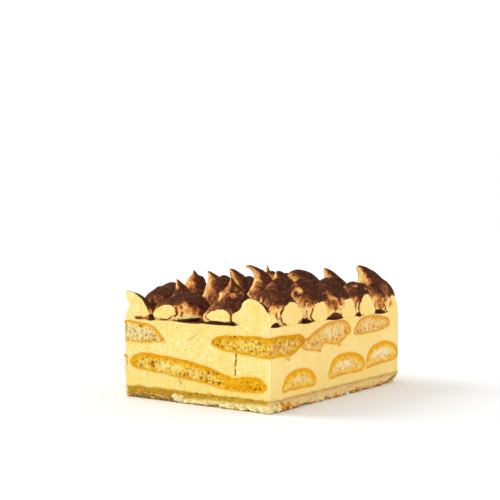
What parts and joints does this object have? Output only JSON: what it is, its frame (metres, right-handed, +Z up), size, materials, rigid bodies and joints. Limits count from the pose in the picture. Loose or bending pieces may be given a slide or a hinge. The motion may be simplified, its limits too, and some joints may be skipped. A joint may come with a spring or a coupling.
{
  "type": "tiramisu portion",
  "caption": "Rectangular block of layered tiramisu: sponge base, mascarpone cream with two courses of sponge fingers, and piped peaks dusted with cocoa.",
  "frame": {"origin": "centre of the block's footprint, on the plane it rests on", "axes": "+Z up; the front cut face looks along -Y, the right cut face along +X; the sponge fingers lie along X"},
  "size_m": [0.095, 0.134, 0.0702],
  "materials": {
    "sponge": "soft open crumb, soaked darker at its top",
    "cream": "smooth knife-cut mascarpone cream, satin",
    "biscuit": "baked golden crust round a pale open crumb",
    "cocoa_dusted_cream": "piped cream under a matt dusting of cocoa powder"
  },
  "bodies": {
    "root": {"sponge_base": "sponge", "cream_filling": "cream", "finger_lower_front": "biscuit", "finger_lower_1": "biscuit", "finger_lower_2": "biscuit", "finger_lower_3": "biscuit", "finger_upper_left": "biscuit", "finger_upper_front": "biscuit", "finger_upper_2": "biscuit", "finger_upper_3": "biscuit", "cream_peak_01": "cocoa_dusted_cream", "cream_peak_02": "cocoa_dusted_cream", "cream_peak_03": "cocoa_dusted_cream", "cream_peak_04": "cocoa_dusted_cream", "cream_peak_05": "cocoa_dusted_cream", "cream_peak_06": "cocoa_dusted_cream", "cream_peak_07": "cocoa_dusted_cream", "cream_peak_08": "cocoa_dusted_cream", "cream_peak_09": "cocoa_dusted_cream", "cream_peak_10": "cocoa_dusted_cream", "cream_peak_11": "cocoa_dusted_cream", "cream_peak_12": "cocoa_dusted_cream", "cream_peak_13": "cocoa_dusted_cream", "cream_peak_14": "cocoa_dusted_cream", "cream_peak_15": "cocoa_dusted_cream", "cream_peak_16": "cocoa_dusted_cream", "cream_peak_17": "cocoa_dusted_cream", "cream_peak_18": "cocoa_dusted_cream", "cream_peak_19": "cocoa_dusted_cream", "cream_peak_20": "cocoa_dusted_cream", "cream_peak_21": "cocoa_dusted_cream", "cream_peak_22": "cocoa_dusted_cream", "cream_peak_23": "cocoa_dusted_cream", "cream_peak_24": "cocoa_dusted_cream"}
  },
  "joints": []
}
